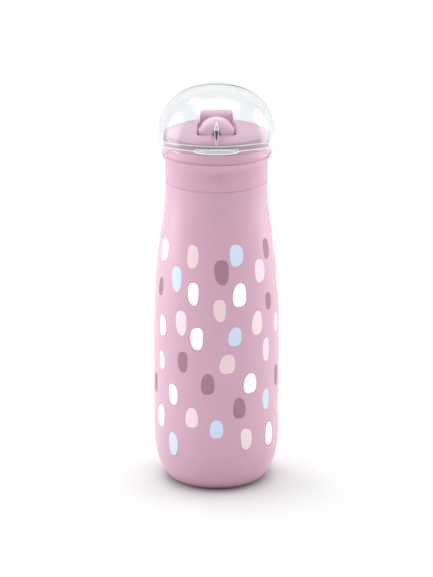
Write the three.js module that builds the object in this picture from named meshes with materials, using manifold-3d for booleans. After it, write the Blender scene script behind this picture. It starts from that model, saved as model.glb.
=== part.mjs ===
// A toddler's insulated drinking bottle with a screw-on flip-spout lid under a clear dome cover.
// Millimetres, +Z up. The origin is the centre of the standing ring, and the front (the spout) faces -Y.
import * as THREE from 'three';
import { mergeVertices } from 'three/addons/utils/BufferGeometryUtils.js';
import { ParametricGeometry } from 'three/addons/geometries/ParametricGeometry.js';
import Module from 'manifold-3d';

const wasm = await Module();
wasm.setup();

// ---- Driving dimensions ----

const GAP = 0.3; // left between pieces that touch
const SEGMENTS = 32; // facets round every large turned piece
const FINE = 20; // facets round small turned pieces

// The painted steel body.
const BODY_R = 36.3; // belly
const COLLAR_R = 29.2; // top of the shoulder, and the lid's collar above it
const FOOT_R = 24.0; // outer edge of the standing ring
const CORNER_TOP = 31.8; // where the rounded base corner meets the straight wall
const CORNER_POWER = 2.1; // 2 would be an exact ellipse
const SHOULDER_LOW = 28.0; // the shoulder eases in from here, very slowly
const SHOULDER_HIGH = 172.6;
const SHOULDER_EASE = 2.84;
const SEAM_Z = 178.0; // top of the painted body
const STEEL = 0.7; // wall of both shells
const JACKET = 4.97; // outer face of the body to outer face of the liner
const NECK_R = 25.2; // threaded neck, outer wall
const LIP_Z = 188.9; // drinking lip of the steel liner

// The screw thread: one start, one turn on each side.
const THREAD_LEAD = 4.0;
const THREAD_DEPTH = 0.8;
const THREAD_FOOT = 0.8; // half the ridge's width where it leaves the wall
const THREAD_CREST = 0.35; // half its width at the crest
const NECK_THREAD_Z = 182.0;
const CORE_THREAD_Z = NECK_THREAD_Z - THREAD_LEAD / 2;

// The lid shell: collar, start of the flare, ledge under the cover's skirt, and the raised deck.
const LID_BOTTOM = SEAM_Z + 0.5;
const FLARE_LOW = 188.0; // the flare runs on from the lid's shell to the cover's skirt
const FLARE_HIGH = 199.4;
const FLARE_R = 33.2;
const LEDGE_Z = 194.1;
const TURRET_R = 30.4; // inside the skirt, at the ledge
const DECK_R = 29.85; // inside the skirt, at the deck
const DECK_Z = 205.4; // edge of the deck
const CROWN = 0.8; // rise of the deck's centre above its edge
const CORE_R = 27.6; // threaded ring inside the collar
const PLATE_LOW = LIP_Z + 1.9; // plate that closes the mouth
const PLATE_HIGH = PLATE_LOW + 1.6;

// The well that the spout folds into, and the trough behind it.
const WELL_HALF = 10.8;
const WELL_FRONT = -10.6;
const WELL_BACK = 10.5;
const TROUGH_BACK = 21.8;
const WELL_FLOOR = 194.2;
const TROUGH_FLOOR = 200.0;
const WELL_WALL = 1.6;
const WELL_CORNER = 2.4;

// The spout's rocker, turning about X.
const PIVOT_Y = 6.0;
const PIVOT_Z = 203.0;
const BARREL_R = 3.9;
const BARREL_HALF = 10.3;
const BORE_R = 1.9; // the way for the drink
const TAB_TOP = 218.0;
const MOUTH_Y = -2.2; // middle of the soft mouthpiece
const MOUTH_Z = 205.0;
const MOUTH_R = 10.0;
const MOUTH_DEPTH = 8.0;
const MOUTH_BACK = 0.9;

// The clear dome cover and its hinge.
const DOME_R = 33.55;
const DOME_LOW = 200.4; // widest level, where the dome passes into the skirt
const DOME_TOP = 232.1;
const DOME_POWER = 2.43;
const DOME_WALL = 2.2;
const SKIRT_LOW = LEDGE_Z + GAP;
const SKIRT_BORE = 30.85;
const HINGE_Y = 33.0;
const HINGE_Z = 193.8;
const KNUCKLE_R = 3.0;
const KNUCKLE_HALF = 5.2;
const LUG_OUT = 9.0;
const PIN_R = 1.2;
const THUMB_HALF = 12.5;
const THUMB_FRONT = -36.2;
const THUMB_LOW = 201.8;
const THUMB_HIGH = 204.4;

// The straw.
const STRAW_R = 3.8;
const STRAW_BORE = 3.0;
const STRAW_LOW = 9.5;
const STRAW_HIGH = 186.2;

// ---- Helpers: solids, joins and cuts ----

// A closed three.js geometry as a solid that can be joined and cut.
function solid(geometry) {
  const plain = geometry.index ? geometry.toNonIndexed() : geometry.clone();
  for (const name of Object.keys(plain.attributes)) {
    if (name !== 'position') plain.deleteAttribute(name);
  }
  const merged = mergeVertices(plain, 1e-4);
  const index = merged.index.array;
  const triVerts = [];
  for (let i = 0; i < index.length; i += 3) {
    const [a, b, c] = [index[i], index[i + 1], index[i + 2]];
    if (a !== b && b !== c && c !== a) triVerts.push(a, b, c);
  }
  return new wasm.Manifold(new wasm.Mesh({
    numProp: 3,
    vertProperties: new Float32Array(merged.attributes.position.array),
    triVerts: new Uint32Array(triVerts),
  }));
}

const group = new THREE.Group();

function add(name, shape, colour, roughness, metalness = 0, opacity = 1) {
  const mesh = shape.getMesh();
  const geometry = new THREE.BufferGeometry();
  geometry.setAttribute('position', new THREE.BufferAttribute(new Float32Array(mesh.vertProperties), 3));
  geometry.setIndex(new THREE.BufferAttribute(new Uint32Array(mesh.triVerts), 1));
  geometry.computeVertexNormals();
  const material = new THREE.MeshStandardMaterial({ color: colour, roughness, metalness });
  material.opacity = opacity;
  material.transparent = opacity < 1;
  const node = new THREE.Mesh(geometry, material);
  node.name = name;
  group.add(node);
}

// A profile of [radius, height] points turned about Z. It closes on itself unless both ends are on the axis.
function turned(profile, segments = SEGMENTS) {
  const points = profile.map(([r, z]) => new THREE.Vector2(Math.max(r, 0), z));
  const open = points[0].x === 0 && points[points.length - 1].x === 0;
  if (!open) points.push(points[0].clone());
  const geometry = new THREE.LatheGeometry(points, segments).rotateX(Math.PI / 2);
  const shape = solid(geometry);
  return shape.volume() < 0 ? solid(flipped(geometry)) : shape;
}

// The same surface with its faces turned over.
function flipped(geometry) {
  const turnedOver = geometry.clone();
  const index = turnedOver.index.array;
  for (let i = 0; i < index.length; i += 3) [index[i], index[i + 1]] = [index[i + 1], index[i]];
  return turnedOver;
}

function box(x0, x1, y0, y1, z0, z1) {
  const geometry = new THREE.BoxGeometry(x1 - x0, y1 - y0, z1 - z0);
  return solid(geometry.translate((x0 + x1) / 2, (y0 + y1) / 2, (z0 + z1) / 2));
}

// A round bar along one axis ('x', 'y' or 'z') between two places on it, about the point (a, b) across it.
function bar(axis, radius, low, high, a, b, segments = FINE) {
  const geometry = new THREE.CylinderGeometry(radius, radius, high - low, segments);
  const middle = (low + high) / 2;
  if (axis === 'x') geometry.rotateZ(-Math.PI / 2).translate(middle, a, b);
  if (axis === 'y') geometry.translate(a, middle, b);
  if (axis === 'z') geometry.rotateX(Math.PI / 2).translate(a, b, middle);
  return solid(geometry);
}

// A rectangle with round corners in the XY plane, standing from z0 to z1.
function roundedBlock(x0, x1, y0, y1, z0, z1, corner) {
  const outline = new THREE.Shape();
  outline.moveTo(x0 + corner, y0).lineTo(x1 - corner, y0);
  outline.absarc(x1 - corner, y0 + corner, corner, -Math.PI / 2, 0);
  outline.lineTo(x1, y1 - corner);
  outline.absarc(x1 - corner, y1 - corner, corner, 0, Math.PI / 2);
  outline.lineTo(x0 + corner, y1);
  outline.absarc(x0 + corner, y1 - corner, corner, Math.PI / 2, Math.PI);
  outline.lineTo(x0, y0 + corner);
  outline.absarc(x0 + corner, y0 + corner, corner, Math.PI, Math.PI * 1.5);
  const settings = { depth: z1 - z0, bevelEnabled: false, curveSegments: 4 };
  return solid(new THREE.ExtrudeGeometry(outline, settings).translate(0, 0, z0));
}

// A ridge that climbs one turn of the screw on a wall of the given radius. Side is 1 for a ridge that
// stands outwards and -1 for one that stands inwards. It fades out at both ends and is sunk a little.
function screwRidge(wallRadius, startZ, side) {
  const sink = 0.25;
  const section = [
    [-sink, -THREAD_FOOT], [THREAD_DEPTH, -THREAD_CREST], [THREAD_DEPTH, THREAD_CREST], [-sink, THREAD_FOOT],
  ];
  const place = (u, v, target) => {
    const fade = Math.min(1, 12 * Math.min(u, 1 - u));
    const [out, along] = section[Math.round(v * 4) % 4];
    const radius = wallRadius + side * (out * fade - sink * (1 - fade));
    const angle = 2 * Math.PI * u;
    target.set(radius * Math.cos(angle), radius * Math.sin(angle), startZ + THREAD_LEAD * u + along * fade);
  };
  const geometry = new ParametricGeometry(place, SEGMENTS, 4);
  const shape = solid(geometry);
  return shape.volume() < 0 ? solid(flipped(geometry)) : shape;
}

const smoothstep = (t) => t * t * (3 - 2 * t);
const clamp01 = (t) => Math.min(Math.max(t, 0), 1);

// Heights spread evenly from one to the other, both ends included.
function spread(from, to, steps) {
  return Array.from({ length: steps + 1 }, (_, i) => from + ((to - from) * i) / steps);
}

// ---- The bottle: two steel shells joined at the lip, with a vacuum between them ----

// Outer radius of the painted wall at a height above the base corner.
function wallRadius(z) {
  const t = clamp01((z - SHOULDER_LOW) / (SHOULDER_HIGH - SHOULDER_LOW));
  return BODY_R - (BODY_R - COLLAR_R) * smoothstep(t ** SHOULDER_EASE);
}

// The rounded corner from (r0, z0) on the base up to (r1, z1) on the wall, as a superellipse quarter.
function corner(r0, z0, r1, z1, steps) {
  return spread(0, Math.PI / 2, steps).map((a) => [
    r0 + (r1 - r0) * Math.sin(a) ** (2 / CORNER_POWER),
    z1 - (z1 - z0) * Math.cos(a) ** (2 / CORNER_POWER),
  ]);
}

const wallHeights = [80, ...spread(106, SHOULDER_HIGH, 6)];
const RECESS = 2.2; // the welded base sits this far above the table
const RING_IN = 22.4; // inner edge of the standing ring
const BASE_OPENING = 20.5;

const outerWall = [
  [BASE_OPENING, RECESS], [RING_IN - 0.8, RECESS], [RING_IN, 0],
  ...corner(FOOT_R, 0, BODY_R, CORNER_TOP, 7),
  ...wallHeights.map((z) => [wallRadius(z), z]),
  [COLLAR_R, SEAM_Z - 0.4], [COLLAR_R - 0.3, SEAM_Z], [NECK_R, SEAM_Z],
  [NECK_R, LIP_Z - 0.9],
];
const innerWall = [
  [NECK_R - STEEL, LIP_Z - 0.9], [NECK_R - STEEL, SEAM_Z - STEEL], [COLLAR_R - STEEL, SEAM_Z - STEEL - 0.4],
  ...wallHeights.toReversed().map((z) => [wallRadius(z) - STEEL, z]),
  ...corner(FOOT_R, STEEL, BODY_R - STEEL, CORNER_TOP, 7).toReversed(),
  [RING_IN + 0.5, STEEL], [RING_IN - 0.4, RECESS + STEEL], [BASE_OPENING, RECESS + STEEL],
];
add('outer_shell', turned([...outerWall, ...innerWall]).add(screwRidge(NECK_R, NECK_THREAD_Z, 1)),
  0xdcb2cc, 0.45, 0.2);

// The liner, with the rolled lip that covers the outer shell's edge. It is what the drink touches.
const LINER_FLOOR = 6.0;
const linerRadius = (z) => wallRadius(z) - JACKET;
const liner = [
  [0, LINER_FLOOR + STEEL], [17, LINER_FLOOR + STEEL],
  ...corner(18, LINER_FLOOR + STEEL, BODY_R - JACKET - STEEL, CORNER_TOP, 5),
  ...wallHeights.map((z) => [linerRadius(z) - STEEL, z]),
  [COLLAR_R - JACKET - STEEL, LIP_Z - 0.2], [COLLAR_R - JACKET - STEEL + 0.3, LIP_Z],
  [NECK_R - 0.3, LIP_Z], [NECK_R, LIP_Z - 0.3], [NECK_R, LIP_Z - 0.6], [COLLAR_R - JACKET, LIP_Z - 0.6],
  ...wallHeights.toReversed().map((z) => [linerRadius(z), z]),
  ...corner(18, LINER_FLOOR, BODY_R - JACKET, CORNER_TOP, 5).toReversed(),
  [0, LINER_FLOOR],
];
add('inner_shell', turned(liner), 0xc9c9c6, 0.3, 1);

// The disc welded into the base, with a shallow pressed dome, and the getter pellet on its vacuum side.
const CAP_R = BASE_OPENING - GAP;
add('base_cap', turned([
  [0, RECESS - 0.5], [12, RECESS - 0.5], [14, RECESS], [CAP_R, RECESS],
  [CAP_R, RECESS + STEEL], [13.6, RECESS + STEEL], [11.6, RECESS + STEEL - 0.5], [0, RECESS + STEEL - 0.5],
]), 0xbdbdbb, 0.4, 1);
add('getter_pellet', bar('z', 5, RECESS + STEEL - 0.5 + GAP, RECESS + STEEL + 1.2, 0, 0), 0x8a8a8a, 0.7, 0.6);

// ---- The seals: a flat gasket on the lip, and a wiper ring round the lid's plug ----

const MOUTH_BORE = COLLAR_R - JACKET - STEEL; // inner radius of the neck
add('lip_gasket', turned([
  [MOUTH_BORE + 0.3, LIP_Z + GAP], [NECK_R, LIP_Z + GAP],
  [NECK_R, PLATE_LOW - GAP], [MOUTH_BORE + 0.3, PLATE_LOW - GAP],
]), 0xf1ece8, 0.6);
const PLUG_R = 21.3;
const SEAL_LOW = 183.6;
add('plug_seal', turned([
  [PLUG_R + GAP, SEAL_LOW], [MOUTH_BORE - 0.8, SEAL_LOW], [MOUTH_BORE - GAP, SEAL_LOW + 0.7],
  [MOUTH_BORE - 0.8, SEAL_LOW + 1.5], [MOUTH_BORE - GAP, SEAL_LOW + 2.3], [MOUTH_BORE - 0.8, SEAL_LOW + 3],
  [PLUG_R + GAP, SEAL_LOW + 3],
]), 0xf1ece8, 0.6);

// ---- The lid's core: threaded ring, plate over the mouth, plug, and the nipple for the straw ----

const PLUG_LOW = SEAL_LOW - 1.6;
const coreRing = turned([
  [0, PLATE_LOW], [PLUG_R - 1.7, PLATE_LOW], [PLUG_R - 1.7, PLUG_LOW], [PLUG_R + 1.3, PLUG_LOW],
  [PLUG_R + 1.3, SEAL_LOW - GAP], [PLUG_R, SEAL_LOW - GAP], [PLUG_R, PLATE_LOW],
  [CORE_R - 1.3, PLATE_LOW], [CORE_R - 1.3, LID_BOTTOM + 0.5], [CORE_R, LID_BOTTOM + 0.5],
  [CORE_R, PLATE_HIGH], [0, PLATE_HIGH],
]);
const NIPPLE_R = STRAW_BORE - GAP;
const NIPPLE_LOW = 174.0;
const VALVE = [16.2, -3.0];
const VALVE_STEM = 1.0;
add('lid_core', coreRing
  .add(screwRidge(CORE_R - 1.3, CORE_THREAD_Z, -1))
  .add(bar('z', STRAW_R + 1.2, STRAW_HIGH + GAP, PLATE_HIGH - 0.2, 0, PIVOT_Y))
  .add(bar('z', NIPPLE_R, NIPPLE_LOW, PLATE_HIGH - 0.2, 0, PIVOT_Y))
  .subtract(bar('z', BORE_R, NIPPLE_LOW - 1, PLATE_HIGH + 1, 0, PIVOT_Y))
  .subtract(bar('z', VALVE_STEM + GAP, PLATE_LOW - 1, PLATE_HIGH + 1, ...VALVE)), 0xf3eef0, 0.4);

// The straw, cut on the slant at its foot so that it can't seal itself against the floor.
add('straw', bar('z', STRAW_R, STRAW_LOW, STRAW_HIGH, 0, PIVOT_Y)
  .subtract(bar('z', STRAW_BORE, STRAW_LOW - 1, STRAW_HIGH + 1, 0, PIVOT_Y))
  .subtract(solid(new THREE.BoxGeometry(12, 20, 8).rotateX(Math.PI / 4)
    .translate(0, PIVOT_Y + 2.5, STRAW_LOW - 3.2))), 0xf6f2f4, 0.45);

// A soft mushroom valve in the plate lets air in behind the drink.
add('vent_valve', turned([
  [0, PLATE_LOW - 1.8], [1.0, PLATE_LOW - 1.6], [1.7, PLATE_LOW - GAP], [VALVE_STEM, PLATE_LOW - GAP],
  [VALVE_STEM, PLATE_HIGH + GAP], [3.1, PLATE_HIGH + GAP], [2.4, PLATE_HIGH + 1.0], [0, PLATE_HIGH + 1.4],
], 16).translate(...VALVE, 0), 0xf1ece8, 0.6);

// ---- The lid's shell ----

// Outer radius of the flare at a height, on the lid's shell and on the cover's skirt above it.
function flareRadius(z) {
  const t = clamp01((z - FLARE_LOW) / (FLARE_HIGH - FLARE_LOW));
  return COLLAR_R + (FLARE_R - COLLAR_R) * smoothstep(t);
}
const lidProfile = [
  [CORE_R + GAP, LID_BOTTOM], [COLLAR_R - 0.3, LID_BOTTOM], [COLLAR_R, LID_BOTTOM + 0.4],
  ...spread(FLARE_LOW, LEDGE_Z - 0.2, 4).map((z) => [flareRadius(z), z]),
  [flareRadius(LEDGE_Z) - 0.3, LEDGE_Z], [TURRET_R, LEDGE_Z],
  [DECK_R, DECK_Z - 1.2], [DECK_R - 0.35, DECK_Z - 0.4], [DECK_R - 1.2, DECK_Z],
  [DECK_R * 0.6, DECK_Z + CROWN * 0.64], [0, DECK_Z + CROWN],
  [0, DECK_Z + CROWN - 2.0], [DECK_R - 1.9, DECK_Z - 2.0], [TURRET_R - 2.1, PLATE_HIGH + GAP + 0.5],
  [CORE_R + GAP, PLATE_HIGH + GAP],
];
const WALL_HALF = WELL_HALF + WELL_WALL;
const SEAT_R = 3.3; // soft seat that the barrel turns on
const SEAT_TOP = 199.8;
const BLOCK_TOP = DECK_Z - 0.8;
let shell = turned(lidProfile)
  .add(roundedBlock(-WALL_HALF, WALL_HALF, WELL_FRONT - WELL_WALL, WELL_BACK + WELL_WALL,
    PLATE_HIGH + GAP, BLOCK_TOP, WELL_CORNER + WELL_WALL))
  .add(roundedBlock(-WALL_HALF, WALL_HALF, 4, TROUGH_BACK + WELL_WALL,
    TROUGH_FLOOR - WELL_WALL, BLOCK_TOP, WELL_CORNER + WELL_WALL))
  .subtract(roundedBlock(-WELL_HALF, WELL_HALF, WELL_FRONT, WELL_BACK, WELL_FLOOR, DECK_Z + 5, WELL_CORNER))
  .subtract(roundedBlock(-WELL_HALF, WELL_HALF, 0, TROUGH_BACK, TROUGH_FLOOR, DECK_Z + 5, WELL_CORNER))
  .add(bar('z', SEAT_R + GAP + 1.1, WELL_FLOOR - 0.5, 199.3, 0, PIVOT_Y))
  .subtract(bar('z', SEAT_R + GAP, PLATE_HIGH, SEAT_TOP, 0, PIVOT_Y))
  .subtract(bar('x', BARREL_R + 0.4, -WELL_HALF, WELL_HALF, PIVOT_Y, PIVOT_Z))
  .subtract(bar('x', 1.9, -WELL_HALF - 3, WELL_HALF + 3, PIVOT_Y, PIVOT_Z));

// Two lugs at the back carry the cover's hinge pin, with a pocket between them for the cover's knuckle.
const POCKET_HALF = KNUCKLE_HALF + 0.4;
const SWEEP_R = KNUCKLE_R + 0.4; // room for what turns about the hinge
for (const side of [-1, 1]) {
  const [x0, x1] = [side * POCKET_HALF, side * LUG_OUT].sort((a, b) => a - b);
  shell = shell.add(bar('x', KNUCKLE_R, x0, x1, HINGE_Y, HINGE_Z))
    .add(box(x0, x1, 28.6, HINGE_Y, HINGE_Z - KNUCKLE_R + 0.1, LEDGE_Z - 0.1));
}
shell = shell
  .subtract(bar('x', SWEEP_R, -POCKET_HALF, POCKET_HALF, HINGE_Y, HINGE_Z))
  .subtract(bar('x', PIN_R + GAP, -LUG_OUT + 1.2, LUG_OUT - 1.2, HINGE_Y, HINGE_Z, 16));
add('lid_shell', shell, 0xcfa6bd, 0.42);

// The soft seat under the rocker's barrel: a bushing whose saddle the barrel wipes to seal when folded.
add('spout_seal', bar('z', SEAT_R, PLATE_HIGH + GAP, SEAT_TOP, 0, PIVOT_Y)
  .subtract(bar('z', BORE_R, PLATE_HIGH - 1, SEAT_TOP + 1, 0, PIVOT_Y, 16))
  .subtract(bar('x', BARREL_R + GAP, -8, 8, PIVOT_Y, PIVOT_Z)), 0xf1ece8, 0.6);

const PIN_HALF = LUG_OUT - 1.5;
add('cover_hinge_pin', bar('x', PIN_R, -PIN_HALF, PIN_HALF, HINGE_Y, HINGE_Z, 16), 0xb8b8b8, 0.25, 1);

// ---- The flip spout: a rigid rocker with a thumb tab, and a soft mouthpiece on its nozzle ----

const TAB_FRONT = 4.0;
const TAB_THICK = 4.2;
const PLATE_R = 8.3;
const tab = new THREE.Shape();
tab.moveTo(-10, PIVOT_Z).lineTo(10, PIVOT_Z).lineTo(9.4, TAB_TOP - 2.6);
tab.quadraticCurveTo(9.2, TAB_TOP - 0.5, 7.2, TAB_TOP - 0.3);
tab.quadraticCurveTo(0, TAB_TOP + 0.3, -7.2, TAB_TOP - 0.3);
tab.quadraticCurveTo(-9.2, TAB_TOP - 0.5, -9.4, TAB_TOP - 2.6);
const tabSettings = { depth: TAB_THICK, bevelEnabled: false, curveSegments: 4 };
const tabSolid = solid(new THREE.ExtrudeGeometry(tab, tabSettings)
  .rotateX(Math.PI / 2).translate(0, TAB_FRONT + TAB_THICK, 0));
const NOZZLE_R = 3.2;
const NOZZLE_END = -5.6;
add('spout_rocker', bar('x', BARREL_R, -BARREL_HALF, BARREL_HALF, PIVOT_Y, PIVOT_Z)
  .add(bar('x', 1.5, -BARREL_HALF - 1.7, BARREL_HALF + 1.7, PIVOT_Y, PIVOT_Z, 12))
  .add(tabSolid)
  .add(bar('y', PLATE_R, MOUTH_BACK + GAP, TAB_FRONT + 0.5, 0, MOUTH_Z)
    .subtract(box(-12, 12, -5, 8, 190, PIVOT_Z - 2.8)))
  .add(bar('y', NOZZLE_R, NOZZLE_END, PIVOT_Y, 0, PIVOT_Z, 16))
  .subtract(bar('y', BORE_R, NOZZLE_END - 1, PIVOT_Y + 5, 0, PIVOT_Z, 16)), 0xcea3b8, 0.42);

const NOTCH_HALF = 2.6;
const NOTCH_TOP = MOUTH_Z + 4.8;
const notch = new THREE.Shape();
notch.moveTo(-NOTCH_HALF, MOUTH_Z - 12).lineTo(NOTCH_HALF, MOUTH_Z - 12).lineTo(NOTCH_HALF, MOUTH_Z - 1.5)
  .lineTo(0, NOTCH_TOP).lineTo(-NOTCH_HALF, MOUTH_Z - 1.5);
const notchSolid = solid(new THREE.ExtrudeGeometry(notch, { depth: 4, bevelEnabled: false })
  .rotateX(Math.PI / 2).translate(0, MOUTH_Y - MOUTH_DEPTH + 3, 0));
const mouthBall = new THREE.SphereGeometry(1, 24, 12).scale(MOUTH_R, MOUTH_DEPTH, MOUTH_R)
  .translate(0, MOUTH_Y, MOUTH_Z);
add('mouthpiece', solid(mouthBall)
  .subtract(box(-12, 12, MOUTH_BACK, 12, 190, 220))
  .subtract(bar('y', NOZZLE_R + GAP, NOZZLE_END - GAP, 3, 0, PIVOT_Z, 16))
  .subtract(bar('y', BORE_R, MOUTH_Y - MOUTH_DEPTH - 1, 0, 0, PIVOT_Z, 16))
  .subtract(notchSolid), 0xe6c5d8, 0.55);

// ---- The clear dome cover ----

// The quarter outline of a dome, from its rim up to its apex on the axis.
function domeOutline(radius, low, top, steps) {
  return spread(0, Math.PI / 2, steps).map((a) => [
    a > 1.57 ? 0 : radius * Math.cos(a) ** (2 / DOME_POWER),
    low + (top - low) * Math.sin(a) ** (2 / DOME_POWER),
  ]);
}

const thumb = new THREE.Shape();
thumb.moveTo(-THUMB_HALF, -30.5);
thumb.quadraticCurveTo(-THUMB_HALF + 0.4, THUMB_FRONT + 0.1, -5, THUMB_FRONT);
thumb.lineTo(5, THUMB_FRONT);
thumb.quadraticCurveTo(THUMB_HALF - 0.4, THUMB_FRONT + 0.1, THUMB_HALF, -30.5);
const thumbSettings = { depth: THUMB_HIGH - THUMB_LOW, bevelEnabled: false, curveSegments: 6 };
const thumbTab = solid(new THREE.ExtrudeGeometry(thumb, thumbSettings).translate(0, 0, THUMB_LOW));
const FIN_HALF = 0.9;
const FIN_END = -11.6;
const FIN_LOW = DECK_Z + CROWN + 0.4;
const FIN_HIGH = DECK_Z + 8.4;
const fin = box(-FIN_HALF, FIN_HALF, -DOME_R, FIN_END, FIN_LOW, FIN_HIGH)
  .intersect(turned([
    [0, DOME_LOW], ...domeOutline(DOME_R - DOME_WALL / 2, DOME_LOW, DOME_TOP - DOME_WALL / 2, 8),
  ]));
const skirtHeights = spread(SKIRT_LOW + 0.3, FLARE_HIGH, 4);
let cover = turned([
  [SKIRT_BORE, SKIRT_LOW], [flareRadius(SKIRT_LOW) - 0.3, SKIRT_LOW],
  ...skirtHeights.map((z) => [flareRadius(z), z]),
  ...domeOutline(DOME_R, DOME_LOW, DOME_TOP, 9),
  ...domeOutline(SKIRT_BORE + 0.3, DOME_LOW, DOME_TOP - DOME_WALL, 9).toReversed(),
])
  .add(thumbTab.subtract(bar('z', DOME_R - 1, THUMB_LOW - 1, THUMB_HIGH + 1, 0, 0, SEGMENTS)))
  .add(fin)
  .add(box(-KNUCKLE_HALF, KNUCKLE_HALF, HINGE_Y - 1.6, HINGE_Y + 2.2, HINGE_Z, DOME_LOW + 0.6));
for (const side of [-1, 1]) {
  const [x0, x1] = [side * KNUCKLE_HALF, side * (LUG_OUT + 0.4)].sort((a, b) => a - b);
  cover = cover.subtract(bar('x', SWEEP_R, x0, x1, HINGE_Y, HINGE_Z));
}
cover = cover.add(bar('x', KNUCKLE_R, -KNUCKLE_HALF, KNUCKLE_HALF, HINGE_Y, HINGE_Z))
  .subtract(bar('x', PIN_R + GAP, -KNUCKLE_HALF - 1, KNUCKLE_HALF + 1, HINGE_Y, HINGE_Z, 16));
add('dome_cover', cover, 0xe8eef0, 0.08, 0, 0.35);

export default group;
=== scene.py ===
# A toddler's insulated drinking bottle: painted steel body, screw-on lid, flip spout, clear hinged cover.
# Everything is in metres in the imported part's frame: +Z up, the front towards -Y, the standing ring on Z = 0.
import math

import bmesh
import bpy
import numpy as np
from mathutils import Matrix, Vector


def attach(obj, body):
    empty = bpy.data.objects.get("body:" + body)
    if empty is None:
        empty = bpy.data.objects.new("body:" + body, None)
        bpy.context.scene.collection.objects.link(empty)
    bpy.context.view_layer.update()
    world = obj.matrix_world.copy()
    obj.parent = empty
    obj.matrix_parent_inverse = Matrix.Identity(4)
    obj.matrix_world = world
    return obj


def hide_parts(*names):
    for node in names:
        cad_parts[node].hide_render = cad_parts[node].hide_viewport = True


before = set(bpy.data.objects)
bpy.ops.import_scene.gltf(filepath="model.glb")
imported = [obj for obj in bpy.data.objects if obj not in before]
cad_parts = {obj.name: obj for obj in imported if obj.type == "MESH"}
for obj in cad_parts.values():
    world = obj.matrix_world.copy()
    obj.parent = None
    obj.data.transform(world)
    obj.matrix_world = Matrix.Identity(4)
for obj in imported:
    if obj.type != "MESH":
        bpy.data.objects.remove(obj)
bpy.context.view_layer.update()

# ---- Painted body ----
# The bottle's outer shell is stainless steel sheet, drawn and spun to a rounded base corner and a long easy
# shoulder. It is powder coated in satin pink from the standing ring up to the rolled edge under the lid.

MM = 0.001
BELLY_R, COLLAR_R, FOOT_R = 36.3, 29.2, 24.0
SEAM_Z = 178.0
STEEL = 0.7
BASE_TOP, BASE_POWER = 31.8, 2.1
SHOULDER_LOW, SHOULDER_RISE, SHOULDER_POWER = 28, 144.6, 2.84
COLUMNS = 288


def eased(t):
    """Zero below 0, one above 1, and 3t^2 - 2t^3 between."""
    t = np.clip(t, 0, 1)
    return t * t * (3 - 2 * t)


def wall_radius(z):
    """Belly radius at the foot of the shoulder and collar radius at its top. Between them it falls by the
    height's share of the rise, raised to the shoulder's power and eased."""
    share = np.clip((z - SHOULDER_LOW) / SHOULDER_RISE, 0, 1)
    return BELLY_R - (BELLY_R - COLLAR_R) * eased(share ** SHOULDER_POWER)


def quarter(r0, z0, r1, z1, power, steps):
    """Quarter of a superellipse from (r0, z0), level, to (r1, z1), upright: sine and cosine to 2 / power."""
    a = np.linspace(0, np.pi / 2, steps)
    across, along = np.sin(a) ** (2 / power), np.clip(np.cos(a), 0, 1) ** (2 / power)
    return np.column_stack([r0 + (r1 - r0) * across, z1 - (z1 - z0) * along])


def eased_corners(corners, steps=5):
    """A closed path through corners (r, z, cut). Each corner is the quadratic curve between the two points
    that lie cut millimetres from it along its sides."""
    c = np.array(corners, float)
    point, cut = c[:, :2], c[:, 2:]

    def towards(other):
        side = other - point
        return point + side * cut / np.maximum(np.linalg.norm(side, axis=1, keepdims=True), 1e-9)

    start, end = towards(np.roll(point, 1, 0)), towards(np.roll(point, -1, 0))
    t = np.linspace(0, 1, steps)[None, :, None]
    curve = (1 - t) ** 2 * start[:, None] + 2 * t * (1 - t) * point[:, None] + t ** 2 * end[:, None]
    return curve.reshape(-1, 2)


def turned(profile, columns=COLUMNS, centre=(0, 0)):
    """A profile of (radius, height) turned about an upright axis: one row for each point of the profile."""
    a = np.linspace(0, 2 * np.pi, columns, endpoint=False)
    r, z = profile[:, :1], profile[:, 1:]
    return np.stack([centre[0] + r * np.cos(a), centre[1] + r * np.sin(a), z + 0 * a], -1)


def piece(name, grids, material, closed_rows=True, crease=32):
    """A mesh of one or more grids of points (rows x columns x 3, millimetres). Columns always close on
    themselves, rows do unless closed_rows is off. Doubles are merged and faces turned outwards."""
    vertices, faces, first = [], [], 0
    for grid in grids:
        rows, columns = grid.shape[:2]
        number = first + np.arange(rows * columns).reshape(rows, columns)
        ahead = np.roll(number, -1, 0) if closed_rows else number[1:]
        here = number if closed_rows else number[:-1]
        quads = np.stack([here, np.roll(here, -1, 1), np.roll(ahead, -1, 1), ahead], -1)
        vertices.append(grid.reshape(-1, 3))
        faces.append(quads.reshape(-1, 4))
        first += rows * columns
    mesh = bpy.data.meshes.new(name)
    mesh.from_pydata((np.concatenate(vertices) * MM).tolist(), [], np.concatenate(faces).tolist())
    shape = bmesh.new()
    shape.from_mesh(mesh)
    bmesh.ops.remove_doubles(shape, verts=shape.verts, dist=2e-6)
    bmesh.ops.dissolve_degenerate(shape, edges=shape.edges, dist=1e-7)
    bmesh.ops.recalc_face_normals(shape, faces=shape.faces)
    shape.to_mesh(mesh)
    shape.free()
    mesh.shade_smooth()
    mesh.set_sharp_from_angle(angle=math.radians(crease))
    mesh.materials.append(material)
    made = bpy.data.objects.new(name, mesh)
    bpy.context.scene.collection.objects.link(made)
    return made


def linear(hex_colour):
    """An sRGB hex colour as linear red, green, blue and a solid alpha."""
    channels = np.array([int(hex_colour[i:i + 2], 16) for i in (1, 3, 5)]) / 255
    low, high = channels / 12.92, ((channels + 0.055) / 1.055) ** 2.4
    return (*np.where(channels <= 0.04045, low, high).tolist(), 1.0)


def add_node(tree, kind, inputs=None, **settings):
    """Adds a node. Settings are its own properties; inputs are values, or the sockets that feed them."""
    new = tree.nodes.new(kind)
    for key, value in settings.items():
        setattr(new, key, value)
    for key, value in (inputs or {}).items():
        if isinstance(value, bpy.types.NodeSocket):
            tree.links.new(value, new.inputs[key])
        else:
            new.inputs[key].default_value = value
    return new


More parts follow.
